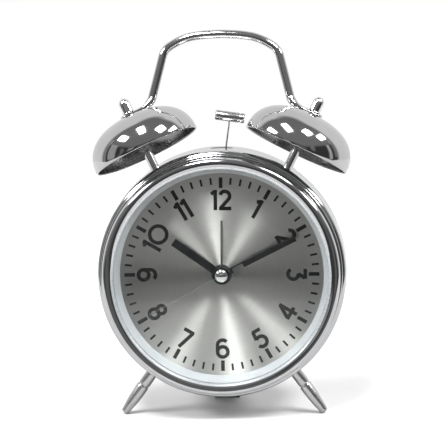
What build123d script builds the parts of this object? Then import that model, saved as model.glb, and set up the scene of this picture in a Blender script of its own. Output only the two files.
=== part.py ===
from build123d import *
import math
import os

# Twin-bell alarm clock: chrome case on two turned legs and a small rear foot,
# two bells on posts, a carrying handle, a motor-driven hammer between the
# bells, and a quartz movement with hour, minute, second and alarm hands.
#
# Every piece is drawn in the case frame: the case axis is Y, the front of the
# bezel is y = 0, +Y points to the back, +Z up.  The whole clock then leans back
# by lean_back and is set down so that the origin is the centre of its footprint
# box on the table.

# ---------------------------------------------------------------- dimensions
lean_back = 7.0            # deg, dial leans back
origin_y = -22.01          # mm, places the bounding box centre at y = 0
origin_z = 64.90           # mm, places the lowest point at z = 0

dial_y = 9.8               # front face of the dial
bezel_in_r, bezel_out_r = 47.5, 52.4
bezel_crest_r, bezel_back_y = 50.7, 6.6
lens_r, lens_y0, lens_y1 = 48.3, 1.55, 2.95
rehaut_r0, rehaut_r1 = 47.0, 44.1
dial_r, dial_t = 50.3, 0.6
case_r, case_t = 54.8, 0.8
case_y0, case_y1 = 12.0, 27.5     # straight part of the case wall
case_back_y = 34.0
cover_r, cover_t = 51.6, 2.0

bell_r, bell_h, bell_t, bell_n = 24.4, 17.5, 0.8, 2.4
bell_tilt, bell_lean = 26.0, 11.0
rim_x, rim_y, rim_z = 32.8, 19.5, 53.5    # centre of the bell mouth
post_r, stud_r = 2.0, 1.2
tab_t, tab_w = 1.4, 6.0
nut_r, nut_len = 2.5, 7.0
handle_r = 1.9

leg_angle, leg_y = 35.4, 17.0
leg_end, leg_groove = 76.96, 61.7

hammer_pivot_z, hammer_y = 40.8, 21.0
hammer_len, hammer_r, hammer_arm, hammer_rest = 12.9, 2.2, 28.0, 8.0
crank_z, crank_throw = 31.5, 1.85

hour_angle, minute_angle, second_angle, alarm_angle = 305.3, 63.5, 241.5, 0.6

# ------------------------------------------------------------------- helpers
nodes = {}


def add(name, *solids):
    nodes[name] = solids[0] if len(solids) == 1 else Compound(children=list(solids))


def outline(start, *segs):
    """Closed face in XY from lines (L), three-point arcs (A) and splines (S)."""
    edges, cur = [], start
    for s in segs:
        if s[0] == "L":
            edges.append(Edge.make_line((*cur, 0), (*s[1], 0)))
            cur = s[1]
        elif s[0] == "A":
            edges.append(Edge.make_three_point_arc((*cur, 0), (*s[1], 0), (*s[2], 0)))
            cur = s[2]
        else:
            edges.append(Edge.make_spline([(*cur, 0)] + [(*p, 0) for p in s[1]]))
            cur = s[1][-1]
    if math.dist(cur, start) > 1e-6:
        edges.append(Edge.make_line((*cur, 0), (*start, 0)))
    return Face(Wire(edges))


def spin_y(face):
    return revolve(face, axis=Axis.Y, revolution_arc=360)


def spin_z(face):
    return Rot(90, 0, 0) * revolve(face, axis=Axis.Y, revolution_arc=360)


def cyl(x, z, r, y0, y1):
    return extrude(Pos(x, y1, z) * (Plane.XZ * Circle(r)), amount=y1 - y0)


def ring(x, z, ro, ri, y0, y1):
    return cyl(x, z, ro, y0, y1) - cyl(x, z, ri, y0 - 1, y1 + 1)


def block(x0, x1, y0, y1, z0, z1):
    return Pos((x0 + x1) / 2, (y0 + y1) / 2, (z0 + z1) / 2) * Box(x1 - x0, y1 - y0, z1 - z0)


def plate(points, y0, y1):
    """Polygon in the (x, z) plane, from y0 to y1."""
    pts = [(x, y1, z) for x, z in points]
    return extrude(Face(Wire.make_polygon(pts, close=True)), amount=y1 - y0, dir=(0, -1, 0))


def gear(n, m, phase, cx, cz, y0, y1, bore):
    """Spur wheel with slender teeth, phase is the angle of one tooth, from +X to +Z."""
    rp, step = m * n / 2, 360 / n
    pts = []
    for k in range(n):
        for r, a in ((rp - 0.80 * m, -0.25), (rp, -0.16), (rp + 0.50 * m, -0.07),
                     (rp + 0.50 * m, 0.07), (rp, 0.16), (rp - 0.80 * m, 0.25)):
            t = math.radians(phase + (k + a) * step)
            pts.append((cx + r * math.cos(t), cz + r * math.sin(t)))
    g = plate(pts, y0, y1)
    return g - cyl(cx, cz, bore, y0 - 1, y1 + 1) if bore else g


def hand(points, angle, y0, y1):
    """Outline drawn pointing to twelve, turned clockwise by angle."""
    a = math.radians(angle)
    return plate([(x * math.cos(a) + z * math.sin(a), z * math.cos(a) - x * math.sin(a))
                  for x, z in points], y0, y1)


def rect(x0, x1, z0, z1):
    return [(x0, z0), (x1, z0), (x1, z1), (x0, z1)]


def both(shape):
    return mirror(shape, about=Plane.YZ)


# frame of the right-hand bell: origin at the mouth centre, Z along the post
ta, tb = math.radians(bell_tilt), math.radians(bell_lean)
post_dir = (math.sin(ta) * math.cos(tb), math.sin(tb), math.cos(ta) * math.cos(tb))
out_dir = (math.cos(ta), 0, -math.sin(ta))
bell_loc = Plane(origin=(rim_x, rim_y, rim_z), x_dir=out_dir, z_dir=post_dir).location


def zcyl(r, z0, z1):
    return Pos(0, 0, (z0 + z1) / 2) * Cylinder(r, z1 - z0)


# ------------------------------------------------------------- case and front
bezel = spin_y(outline(
    (bezel_in_r, 1.5), ("L", (bezel_in_r, 1.35)),
    ("A", (48.95, 0.42), (bezel_crest_r, 0.0)),
    ("A", (51.85, 0.75), (bezel_out_r, 2.4)), ("L", (bezel_out_r, bezel_back_y)),
    ("L", (51.2, bezel_back_y)), ("L", (51.2, 11.0)), ("L", (50.4, 11.0)),
    ("L", (50.4, 5.0)), ("L", (48.4, 5.0)), ("L", (48.4, 1.5))))
add("bezel_ring", bezel)
add("lens", spin_y(outline((0, lens_y0), ("L", (lens_r, lens_y0)), ("L", (lens_r, lens_y1)),
                           ("L", (0, lens_y1)))))
add("rehaut_ring", spin_y(outline(
    (rehaut_r0, 3.0), ("L", (48.3, 3.0)), ("L", (48.3, 3.6)), ("L", (45.5, dial_y - 0.05)),
    ("L", (rehaut_r1, dial_y - 0.05)))))
add("dial_plate", ring(0, 0, dial_r, 3.5, dial_y, dial_y + dial_t))

case = spin_y(outline(
    (51.25, 6.9), ("L", (52.2, 6.9)), ("A", (53.15, 6.95), (53.3, 7.8)),
    ("A", (54.4, 9.6), (case_r, case_y0)), ("L", (case_r, case_y1)),
    ("A", (54.1, 31.7), (52.0, case_back_y)), ("L", (50.6, case_back_y)),
    ("L", (50.6, 33.2)), ("L", (51.8, 33.2)),
    ("A", (53.4, 31.2), (case_r - case_t, case_y1)), ("L", (case_r - case_t, 12.2)),
    ("A", (53.6, 10.4), (52.6, 9.0)), ("L", (51.25, 9.0))))
screw_at = [(0.0, 46.6), (-42.2, -19.7), (42.2, -19.7)]
for sx, sz in screw_at:
    ang = math.degrees(math.atan2(sz, sx))
    lug = Rot(0, -ang, 0) * block(43.6, 51.4, 32.4, 33.5, -4, 4)
    case = case + lug
    case = case - cyl(sx, sz, 1.1, 30, 36)
# openings in the case wall: hammer slot, post studs, leg studs
case = case - block(-5.0, 5.0, hammer_y - 1.6, hammer_y + 1.6, 50, 58)
stud_hole = bell_loc * zcyl(stud_r + 0.05, -14, -4)
leg_loc = Plane(origin=(0, leg_y, 0), x_dir=(0, 1, 0),
                z_dir=(math.sin(math.radians(leg_angle)), 0, -math.cos(math.radians(leg_angle)))).location
leg_hole = leg_loc * zcyl(1.55, 50, 58)
for h in (stud_hole, both(stud_hole), leg_hole, both(leg_hole)):
    case = case - h
add("case_drum", case)
case_outer = cyl(0, 0, case_r, 0, 40)
case_inner = cyl(0, 0, case_r - case_t, 0, 40)

# --------------------------------------------------------------------- legs
leg = leg_loc * spin_z(outline(
    (0, 52.0), ("L", (2.6, 52.0)), ("L", (2.6, leg_groove - 0.35)),
    ("L", (2.3, leg_groove - 0.2)), ("L", (2.3, leg_groove + 0.2)), ("L", (2.75, leg_groove + 0.5)),
    ("A", (2.62, 69.2), (1.75, leg_end - 1.0)), ("A", (1.18, leg_end - 0.32), (0.4, leg_end)), ("L", (0, leg_end))))
leg = leg - case_outer
leg = leg + leg_loc * zcyl(1.5, 49.5, 56.0)
leg_nut = leg_loc * extrude(Pos(0, 0, 51.4) * RegularPolygon(2.9, 6), amount=2.2) - leg_loc * zcyl(1.5, 45, 60)
add("leg_right", leg)
add("leg_left", both(leg))
add("leg_nuts", leg_nut, both(leg_nut))

# -------------------------------------------------------------------- bells


def bell_curve(r, h, steps=14):
    pts = []
    for i in range(steps + 1):
        t = math.pi / 2 * i / steps
        pts.append((r * math.cos(t) ** (2 / bell_n), h * math.sin(t) ** (2 / bell_n)))
    return pts


outer = [p for p in bell_curve(bell_r, bell_h) if p[0] > 4.0]
inner = [p for p in bell_curve(bell_r - bell_t, bell_h - bell_t) if p[0] > 4.0]
bell = spin_z(outline(
    (inner[0][0], 0), ("L", (outer[0][0], 0)), ("S", outer[1:]),
    ("L", (3.9, bell_h)), ("L", (stud_r + 0.1, bell_h)), ("L", (stud_r + 0.1, bell_h - bell_t)),
    ("L", (3.9, bell_h - bell_t)), ("L", inner[-1]), ("S", inner[-2::-1])))
bell = bell_loc * bell
add("bell_right", bell)
add("bell_left", both(bell))

top_t = bell_h - bell_t
post = bell_loc * zcyl(post_r, -10.0, top_t - 0.8) - case_outer
post = post + bell_loc * zcyl(stud_r, -12.6, -6.0) + bell_loc * zcyl(stud_r, top_t - 1.0, bell_h + tab_t + 4.2)
add("post_right", post)
add("post_left", both(post))
washer = bell_loc * (zcyl(3.6, top_t - 0.75, top_t - 0.02) - zcyl(stud_r + 0.02, 0, 30))
add("bell_washers", washer, both(washer))
post_nut = bell_loc * (extrude(Pos(0, 0, -12.2) * RegularPolygon(2.9, 6), amount=2.4) - zcyl(stud_r, -20, 0))
add("post_nuts", post_nut, both(post_nut))
z0 = bell_h + tab_t
cap = bell_loc * (spin_z(outline(
    (0, z0), ("L", (nut_r, z0)), ("L", (nut_r, z0 + 4.2)),
    ("A", (1.80, z0 + 6.18), (0.3, z0 + nut_len)), ("L", (0, z0 + nut_len)))) - zcyl(stud_r, z0 - 1, z0 + 4.25))
add("cap_nut_right", cap)
add("cap_nut_left", both(cap))

# ------------------------------------------------------------------- handle
hy = rim_y + post_dir[1] * (bell_h + tab_t / 2)
hz = rim_z + post_dir[2] * (bell_h + tab_t / 2)


def on_handle(x, s):
    return (x, hy + s * math.sin(tb), hz + s * math.cos(tb))


path_pts = [on_handle(*p) for p in (
    (31.0, 5.2), (25.17, 28.51), (16.8, 33.8), (8.0, 35.1), (0, 35.45),
    (-8.0, 35.1), (-16.8, 33.8), (-25.17, 28.51), (-31.0, 5.2))]
path = FilletPolyline(*path_pts, radius=[8.0, 25.0, 50.0, 50.0, 50.0, 25.0, 8.0])
rod = sweep(Plane(origin=path @ 0, z_dir=path % 0) * Circle(handle_r), path=path)
tab = bell_loc * (Pos(-3.1, 0, bell_h + tab_t / 2) * extrude(
    SlotOverall(14.6, tab_w), amount=tab_t / 2, both=True))
foot_a = Pos(*on_handle(31.0, 5.2)) * Sphere(handle_r + 0.02)
tab_hole = bell_loc * zcyl(stud_r + 0.05, 10, 30)
handle = rod + tab + both(tab) + foot_a + both(foot_a)
handle = handle - tab_hole - both(tab_hole)
add("handle", handle)

# ------------------------------------------------------------------- hammer


def tip(shape):
    return shape.rotate(Axis((0, 0, hammer_pivot_z), (0, 1, 0)), hammer_rest)


hl = hammer_len / 2
head = Rot(0, 90, 0) * spin_z(outline(
    (0, -hl), ("L", (hammer_r - 0.3, -hl)), ("L", (hammer_r, -hl + 0.3)), ("L", (hammer_r, 4.2)),
    ("L", (hammer_r - 0.25, 4.3)), ("L", (hammer_r - 0.25, 4.7)), ("L", (hammer_r, 4.8)),
    ("L", (hammer_r, hl - 0.3)), ("L", (hammer_r - 0.3, hl)), ("L", (0, hl))))
head = Pos(0, hammer_y, hammer_pivot_z + hammer_arm) * head
wire = Pos(0, hammer_y, 0) * zcyl(0.45, hammer_pivot_z + 2.2, hammer_pivot_z + hammer_arm - 0.6)
add("hammer_head", tip(head - Pos(0, hammer_y, 0) * zcyl(0.45, 40, hammer_pivot_z + hammer_arm - 0.55)))
add("hammer_rod", tip(wire))
rocker = cyl(0, hammer_pivot_z, 2.6, 20.2, 21.8) + block(-2.4, 2.4, 20.2, 21.8, crank_z - 3.4, hammer_pivot_z)
rocker = rocker + block(-1.3, 1.3, 20.2, 21.8, hammer_pivot_z, hammer_pivot_z + 5.2)
rocker = rocker - cyl(0, hammer_pivot_z, 1.06, 19, 23) - block(-0.75, 0.75, 19, 23, crank_z - 2.4, crank_z + 2.6)
rocker = rocker - Pos(0, hammer_y, 0) * zcyl(0.45, hammer_pivot_z + 2.2, 60)
add("hammer_rocker", tip(rocker))
add("hammer_pivot_pin", cyl(0, hammer_pivot_z, 1.0, 19.4, 26.2))
add("crank_axle", cyl(0, crank_z, 0.8, 22.5, 26.2))
bracket = block(-20, 20, 25.2, 26.2, 26.2, 54) & cyl(0, 0, 53.95, 20, 30)
bracket = bracket + block(12.75, 13.75, 12.0, 25.4, 29.0, 40.0)
bracket = bracket - cyl(0, hammer_pivot_z, 1.0, 20, 30) - cyl(0, crank_z, 0.8, 20, 30)
add("mechanism_bracket", bracket)

mot_x, mot_z = 8.0 * math.cos(math.radians(20)), crank_z + 8.0 * math.sin(math.radians(20))
crank = gear(30, 0.4, 20, 0, crank_z, 23.2, 24.2, 0.85)
pin_a = math.radians(134)
crank = crank + cyl(crank_throw * math.cos(pin_a), crank_z + crank_throw * math.sin(pin_a), 0.6, 22.1, 23.4)
add("crank_gear", crank)
add("motor_pinion", gear(10, 0.4, 200 + 18, mot_x, mot_z, 22.8, 24.4, 0) + cyl(mot_x, mot_z, 0.5, 14.0, 24.8))
motor = cyl(mot_x, mot_z, 5.0, 11.6, 19.6) - cyl(mot_x, mot_z, 0.56, 13.0, 30)
add("alarm_motor", motor)

# ----------------------------------------------------------------- movement
mx, mz = 26.0, 24.4
front = block(-mx, mx, 11.2, 12.2, -mz, mz) + cyl(0, 0, 6.0, dial_y + dial_t + 0.02, 11.4)
front = front + cyl(0, 0, 3.3, 8.9, 11.4) - cyl(0, 0, 2.55, 5, 15)
add("movement_front", front)
back = block(-mx, mx, 12.25, 26.1, -mz, mz) - block(-mx + 1.2, mx - 1.2, 12.0, 24.9, -mz + 1.2, mz - 1.2)
back = back - cyl(0, -12, 1.06, 20, 30) - cyl(-12, 0, 1.06, 20, 30)
add("movement_back", back)
add("movement_nut", ring(0, 0, 4.4, 3.32, 9.0, dial_y - 0.02))

add("alarm_wheel", gear(40, 0.4, 180, 0, 0, 12.7, 13.5, 1.96) + ring(0, 0, 2.5, 1.96, 8.0, 13.2))
add("hour_wheel", gear(48, 0.4, -90 + 3.75, 0, 0, 14.1, 14.9, 1.36) + ring(0, 0, 1.9, 1.36, 7.0, 14.6))
minute = ring(0, 0, 1.3, 0.56, 5.9, 18.0) + gear(16, 0.375, -90, 0, 0, 15.3, 16.5, 0.56)
minute = minute + gear(60, 0.27, 0, 0, 0, 17.2, 18.0, 0.56)
add("minute_wheel", minute)
work = gear(48, 0.375, 93.75, 0, -12, 15.5, 16.3, 0) + gear(12, 0.4, 90, 0, -12, 13.9, 15.6, 0)
work = work + cyl(0, -12, 1.0, 12.6, 44.0)
add("time_set_arbor", work)
add("second_wheel", gear(60, 0.3, 30, 0, 0, 19.0, 19.8, 0) + cyl(0, 0, 0.5, 4.9, 22.0))
ix, iz = 10.8 * math.cos(math.radians(30)), 10.8 * math.sin(math.radians(30))
add("intermediate_wheel", gear(12, 0.3, 225, ix, iz, 18.8, 20.8, 0) + gear(48, 0.25, 0, ix, iz, 20.6, 21.4, 0)
    + cyl(ix, iz, 0.5, 18.0, 23.6))
rx, rz = ix + 7.0, iz
add("rotor", gear(8, 0.25, 202.5, rx, rz, 20.3, 21.7, 0) + cyl(rx, rz, 0.5, 19.0, 24.6)
    + cyl(rx, rz, 2.2, 22.0, 24.0))
add("stator", block(rx - 5, rx + 5, 22.5, 23.5, rz - 5, 20.0) - cyl(rx, rz, 2.6, 20, 26))
add("coil", Pos(13.5, 18.2, 17.5) * (Rot(0, 90, 0) * Cylinder(3.6, 20)))
add("circuit_board", block(-24.2, -3.0, 21.6, 22.6, 4.0, 22.6))
add("quartz_crystal", Pos(-18, 20.4, 17) * (Rot(0, 90, 0) * Cylinder(1.1, 7)))
add("alarm_set_arbor", gear(20, 0.4, 9, -12, 0, 12.6, 13.6, 0) + cyl(-12, 0, 1.0, 12.5, 44.0))

# -------------------------------------------------------------------- hands
add("alarm_hand", hand(rect(-0.45, 0.45, 2.9, 23.7), alarm_angle, 8.15, 8.45) + ring(0, 0, 3.4, 2.5, 8.15, 8.55))
add("hour_hand", hand(rect(-1.8, 1.8, 3.0, 25.4), hour_angle, 7.2, 7.55) + ring(0, 0, 3.6, 1.9, 7.15, 7.6))
m_hand = hand(rect(-1.25, 1.25, 2.9, 36.1), minute_angle, 6.2, 6.5)
m_hand = m_hand - hand(rect(-0.72, 0.72, 5.2, 10.6), minute_angle, 6, 7)
add("minute_hand", m_hand + ring(0, 0, 3.7, 1.3, 6.1, 6.6))
add("second_hand", hand(rect(-0.2, 0.2, 1.2, 36.0), second_angle, 5.45, 5.65) + ring(0, 0, 1.6, 0.5, 5.4, 5.7))
add("hand_cap", spin_y(outline(
    (0, 3.55), ("A", (1.75, 4.0), (2.85, 5.35)), ("L", (0.52, 5.35)), ("L", (0.52, 4.85)), ("L", (0, 4.85)))))

# --------------------------------------------------------------- rear cover
cover = spin_y(outline(
    (0, 34.05), ("L", (cover_r, 34.05)), ("L", (cover_r, 35.2)), ("A", (51.3, 35.8), (50.7, 34.05 + cover_t)),
    ("L", (0, 34.05 + cover_t))))
cover = cover + ring(0, 0, 50.4, 49.3, 31.8, 34.3)
for sx, sz in screw_at:
    ang = math.degrees(math.atan2(sz, sx))
    cover = cover - Rot(0, -ang, 0) * block(43.0, 51.0, 30.0, 34.05, -4.3, 4.3)
    cover = cover - cyl(sx, sz, 1.3, 30, 40)
tray = block(-27.0, 27.0, 12.8, 34.3, -42.3, -25.2) & cyl(0, 0, 50.3, 0, 40)
cover = cover + tray - block(-25.9, 25.9, 13.8, 40, -41.3, -26.0)
cover = cover - cyl(0, -12, 1.3, 30, 40) - cyl(-12, 0, 1.3, 30, 40)
cover = cover - block(15.4, 24.6, 30, 40, 12.1, 15.9)
rear_foot = extrude(Face(Wire.make_polygon([(6.0, 35.0, -44.6), (6.0, 35.0, -51.0), (6.0, 41.0, -59.35),
                                            (6.0, 47.0, -58.61), (6.0, 39.5, -44.6)], close=True)),
                    amount=12.0, dir=(-1, 0, 0))
cover = cover + rear_foot
add("rear_cover", cover)
add("rear_foot_pad", extrude(Face(Wire.make_polygon([(5.6, 41.3, -59.34), (5.6, 46.7, -58.68), (5.6, 46.7, -59.65),
                                                     (5.6, 41.3, -60.315)], close=True)), amount=11.2, dir=(-1, 0, 0)))
screws = []
for sx, sz in screw_at:
    s = cyl(sx, sz, 1.05, 31.0, 36.3) + cyl(sx, sz, 2.4, 36.08, 37.3)
    s = s - block(sx - 0.3, sx + 0.3, 36.8, 38, sz - 1.6, sz + 1.6) - block(sx - 1.6, sx + 1.6, 36.8, 38, sz - 0.3, sz + 0.3)
    screws.append(s)
add("cover_screws", *screws)


def knob(x, z, r):
    k = cyl(x, z, r, 38.4, 45.6)
    pts = []
    for i in range(48):
        rr = r + (0.0 if i % 2 else 0.45)
        a = math.radians(i * 7.5)
        pts.append((x + rr * math.cos(a), z + rr * math.sin(a)))
    k = k + plate(pts, 38.6, 44.8) + cyl(x, z, 2.2, 36.6, 38.5)
    return k - cyl(x, z, 1.0, 30, 44.0)


add("time_set_knob", knob(0, -12, 6.2))
add("alarm_set_knob", knob(-12, 0, 4.2))
add("alarm_switch", block(16.0, 19.6, 31.2, 39.0, 12.6, 15.4) + block(14.2, 24.0, 31.0, 33.2, 11.0, 17.0) - block(20.4, 25, 30, 34, 10, 18))
door = block(-27.2, 27.2, 36.15, 37.75, -43.2, -25.2) & cyl(0, 0, 51.0, 30, 40)
for k in range(4):
    door = door + block(15 + 2.4 * k, 16 + 2.4 * k, 37.6, 38.35, -39, -29.5)
add("battery_door", door)
add("battery", Pos(0, 21.1, -33.6) * (Rot(0, 90, 0) * Cylinder(7.15, 49.2)) + Pos(25.0, 21.1, -33.6) * (Rot(0, 90, 0) * Cylinder(2.6, 1.0)))
add("battery_contacts", block(25.52, 25.88, 14.5, 28.5, -40, -27), block(-25.88, -25.52, 14.5, 28.5, -40, -27),
    Pos(-25.05, 21.1, -33.6) * (Rot(0, 90, 0) * (Cylinder(3.0, 0.8) - Cylinder(2.2, 2))))

# ------------------------------------------------------------- set it down
place = Pos(0, origin_y, origin_z) * Rot(-lean_back, 0, 0)
lo, hi = [1e9] * 3, [-1e9] * 3
for name, shape in nodes.items():
    shape = place * shape
    bb = shape.bounding_box()
    for i, (a, b) in enumerate(zip(bb.min, bb.max)):
        lo[i], hi[i] = min(lo[i], a), max(hi[i], b)
    export_step(shape, f"parts/{name}.step")
    if name in ("leg_right", "rear_foot_pad", "bell_right", "bezel_ring", "handle", "time_set_knob"):
        print(name, [round(v, 3) for v in bb.min], [round(v, 3) for v in bb.max])
print(len(nodes), "nodes; box", [round(v, 3) for v in lo], [round(v, 3) for v in hi])
print("centre y", round((lo[1] + hi[1]) / 2, 3), "lowest z", round(lo[2], 3))
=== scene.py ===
import bpy
import bmesh
import math
from math import sin, cos, pi, radians, sqrt, atan2, hypot
from mathutils import Matrix, Vector


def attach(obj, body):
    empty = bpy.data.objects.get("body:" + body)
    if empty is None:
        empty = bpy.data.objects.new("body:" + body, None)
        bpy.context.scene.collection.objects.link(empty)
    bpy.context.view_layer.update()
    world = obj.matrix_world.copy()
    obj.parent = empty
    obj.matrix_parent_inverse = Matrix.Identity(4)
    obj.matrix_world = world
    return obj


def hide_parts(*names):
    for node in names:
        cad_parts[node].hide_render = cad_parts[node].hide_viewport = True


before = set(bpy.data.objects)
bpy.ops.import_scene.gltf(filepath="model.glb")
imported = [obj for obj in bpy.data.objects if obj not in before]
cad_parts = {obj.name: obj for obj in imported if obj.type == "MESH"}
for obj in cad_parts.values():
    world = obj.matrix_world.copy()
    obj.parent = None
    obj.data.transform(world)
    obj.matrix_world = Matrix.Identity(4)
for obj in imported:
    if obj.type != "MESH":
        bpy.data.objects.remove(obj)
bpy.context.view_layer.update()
SCN = bpy.context.scene
MM = 0.001

# The clock is drawn in its case frame (case axis Y, bezel front at y = 0), in mm,
# and set down by the same lean and shift as the CAD parts.
LEAN = radians(7.0)
ORIGIN_Y, ORIGIN_Z = -0.02201, 0.0649
W = Matrix.Translation((0, ORIGIN_Y, ORIGIN_Z)) @ Matrix.Rotation(-LEAN, 4, "X")


# ------------------------------------------------------------------ materials
def nt_new(name):
    m = bpy.data.materials.new(name)
    m.use_nodes = True
    nt = m.node_tree
    nt.nodes.clear()
    out = nt.nodes.new("ShaderNodeOutputMaterial")
    p = nt.nodes.new("ShaderNodeBsdfPrincipled")
    nt.links.new(p.outputs[0], out.inputs[0])
    return m, nt, p, out


def node(nt, kind, **kw):
    n = nt.nodes.new(kind)
    for k, v in kw.items():
        if k in n.inputs.keys():
            n.inputs[k].default_value = v
        else:
            setattr(n, k, v)
    return n


def coords(nt, scale=(1, 1, 1), kind="Object"):
    tc = nt.nodes.new("ShaderNodeTexCoord")
    mp = nt.nodes.new("ShaderNodeMapping")
    mp.inputs["Scale"].default_value = scale
    nt.links.new(tc.outputs[kind], mp.inputs["Vector"])
    return mp.outputs["Vector"]


def noise(nt, vec, scale, detail=3.0, rough=0.55, dist=0.0):
    n = nt.nodes.new("ShaderNodeTexNoise")
    n.inputs["Scale"].default_value = scale
    n.inputs["Detail"].default_value = detail
    n.inputs["Roughness"].default_value = rough
    n.inputs["Distortion"].default_value = dist
    nt.links.new(vec, n.inputs["Vector"])
    return n.outputs["Fac"]


def ramp(nt, fac, stops, interp="LINEAR"):
    r = nt.nodes.new("ShaderNodeValToRGB")
    r.color_ramp.interpolation = interp
    e = r.color_ramp.elements
    while len(e) < len(stops):
        e.new(0.5)
    for i, (pos, col) in enumerate(stops):
        e[i].position = pos
        e[i].color = (col, col, col, 1) if isinstance(col, (int, float)) else (*col, 1)
    nt.links.new(fac, r.inputs[0])
    return r.outputs["Color"]


def maprange(nt, fac, a, b, c, d):
    m = nt.nodes.new("ShaderNodeMapRange")
    for k, v in zip(("From Min", "From Max", "To Min", "To Max"), (a, b, c, d)):
        m.inputs[k].default_value = v
    nt.links.new(fac, m.inputs["Value"])
    return m.outputs["Result"]


def math2(nt, op, a, b=None, clamp=False):
    m = nt.nodes.new("ShaderNodeMath")
    m.operation = op
    m.use_clamp = clamp
    for i, v in enumerate((a, b)):
        if v is None:
            continue
        if isinstance(v, (int, float)):
            m.inputs[i].default_value = v
        else:
            nt.links.new(v, m.inputs[i])
    return m.outputs[0]


def bump(nt, p, height, strength, dist):
    b = nt.nodes.new("ShaderNodeBump")
    b.inputs["Strength"].default_value = strength
    b.inputs["Distance"].default_value = dist
    nt.links.new(height, b.inputs["Height"])
    nt.links.new(b.outputs[0], p.inputs["Normal"])
    return b


def chrome(name, lo=(0.70, 0.70, 0.71), hi=(0.80, 0.80, 0.81), r0=0.03, r1=0.09, wipe=True, bump_s=0.05):
    """Polished plating: faint clouding, wiped smears in the gloss, tiny pits."""
    m, nt, p, out = nt_new(name)
    v = coords(nt)
    cloud = noise(nt, v, 55, 4, 0.6)
    c = ramp(nt, cloud, [(0.30, lo), (0.70, hi)])
    nt.links.new(c, p.inputs["Base Color"])
    p.inputs["Metallic"].default_value = 1.0
    sm = noise(nt, coords(nt, (1, 2.2, 1)), 90, 5, 0.65, 0.6)
    nt.links.new(maprange(nt, sm, 0.35, 0.75, r0, r1), p.inputs["Roughness"])
    fine = noise(nt, v, 900, 2, 0.5)
    bump(nt, p, fine, bump_s, 0.00003)
    return m


def satin(name, axis_scale, lo, hi, r0, r1, grain=700, bump_s=0.25):
    """Brushed or turned metal: grain stretched along the grinding direction."""
    m, nt, p, out = nt_new(name)
    g = noise(nt, coords(nt, axis_scale), grain, 4, 0.65)
    c = ramp(nt, g, [(0.25, lo), (0.75, hi)])
    nt.links.new(c, p.inputs["Base Color"])
    p.inputs["Metallic"].default_value = 1.0
    nt.links.new(maprange(nt, g, 0.3, 0.7, r0, r1), p.inputs["Roughness"])
    bump(nt, p, g, bump_s, 0.00005)
    return m


def plastic(name, lo, hi, r0, r1, grain=1500, bump_s=0.3, dist=0.00006, spec=0.45):
    m, nt, p, out = nt_new(name)
    v = coords(nt)
    big = noise(nt, v, 40, 3, 0.5)
    c = ramp(nt, big, [(0.3, lo), (0.7, hi)])
    nt.links.new(c, p.inputs["Base Color"])
    p.inputs["Specular IOR Level"].default_value = spec
    f = noise(nt, v, grain, 3, 0.6)
    nt.links.new(maprange(nt, f, 0.3, 0.7, r0, r1), p.inputs["Roughness"])
    bump(nt, p, f, bump_s, dist)
    return m


M = {}
M["chrome_case"] = chrome("chrome_case", (0.66, 0.665, 0.68), (0.76, 0.765, 0.775), 0.035, 0.085)
M["chrome_bell"] = chrome("chrome_bell", (0.60, 0.60, 0.605), (0.68, 0.68, 0.69), 0.05, 0.09)
M["bell_inside"] = satin("bell_inside", (1, 1, 1), (0.30, 0.30, 0.30), (0.42, 0.42, 0.42), 0.16, 0.28, 260, 0.15)
M["chrome_rod"] = chrome("chrome_rod", (0.60, 0.60, 0.61), (0.72, 0.72, 0.73), 0.06, 0.14)
M["chrome_cap"] = chrome("chrome_cap", (0.80, 0.80, 0.80), (0.88, 0.88, 0.88), 0.03, 0.06)
M["satin_leg"] = satin("satin_leg", (1, 1, 1), (0.60, 0.60, 0.595), (0.68, 0.68, 0.675), 0.20, 0.27, 320, 0.025)
M["steel_hammer"] = satin("steel_hammer", (0.4, 4, 4), (0.44, 0.44, 0.44), (0.60, 0.60, 0.59), 0.16, 0.26, 500, 0.05)
M["steel_wire"] = satin("steel_wire", (4, 4, 0.4), (0.58, 0.58, 0.58), (0.72, 0.72, 0.72), 0.28, 0.40, 900, 0.1)
M["zinc"] = satin("zinc", (1, 1, 1), (0.50, 0.50, 0.47), (0.66, 0.66, 0.62), 0.28, 0.42, 500, 0.2)
M["brass"] = satin("brass", (3, 1, 3), (0.62, 0.44, 0.17), (0.78, 0.60, 0.29), 0.22, 0.38, 600, 0.2)
M["black_cover"] = plastic("black_cover", (0.016, 0.016, 0.017), (0.026, 0.026, 0.027), 0.38, 0.58)
M["black_knob"] = plastic("black_knob", (0.020, 0.020, 0.021), (0.032, 0.032, 0.033), 0.26, 0.40, 900, 0.12)
M["rubber"] = plastic("rubber", (0.018, 0.018, 0.018), (0.034, 0.033, 0.032), 0.7, 0.9, 1200, 0.5, 0.0001, 0.3)
M["white_plastic"] = plastic("white_plastic", (0.74, 0.74, 0.70), (0.84, 0.84, 0.80), 0.32, 0.45, 800, 0.1)
M["movement"] = plastic("movement", (0.03, 0.03, 0.032), (0.05, 0.05, 0.052), 0.4, 0.55, 900, 0.15)
M["pcb"] = plastic("pcb", (0.02, 0.12, 0.05), (0.03, 0.20, 0.08), 0.25, 0.4, 300, 0.1)
M["hands_black"] = plastic("hands_black", (0.005, 0.005, 0.006), (0.010, 0.010, 0.011), 0.32, 0.44, 1400, 0.06, 0.00002, 0.2)
M["hand_grey"] = plastic("hand_grey", (0.10, 0.10, 0.10), (0.16, 0.16, 0.16), 0.35, 0.5, 900, 0.05)
M["hand_alarm"] = plastic("hand_alarm", (0.045, 0.045, 0.045), (0.07, 0.07, 0.07), 0.35, 0.5, 900, 0.05)
M["ink"] = plastic("ink", (0.004, 0.004, 0.004), (0.009, 0.009, 0.009), 0.5, 0.65, 2200, 0.1, 0.00002, 0.15)
M["battery"] = plastic("battery", (0.05, 0.055, 0.065), (0.10, 0.10, 0.12), 0.25, 0.35, 200, 0.05)
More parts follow.
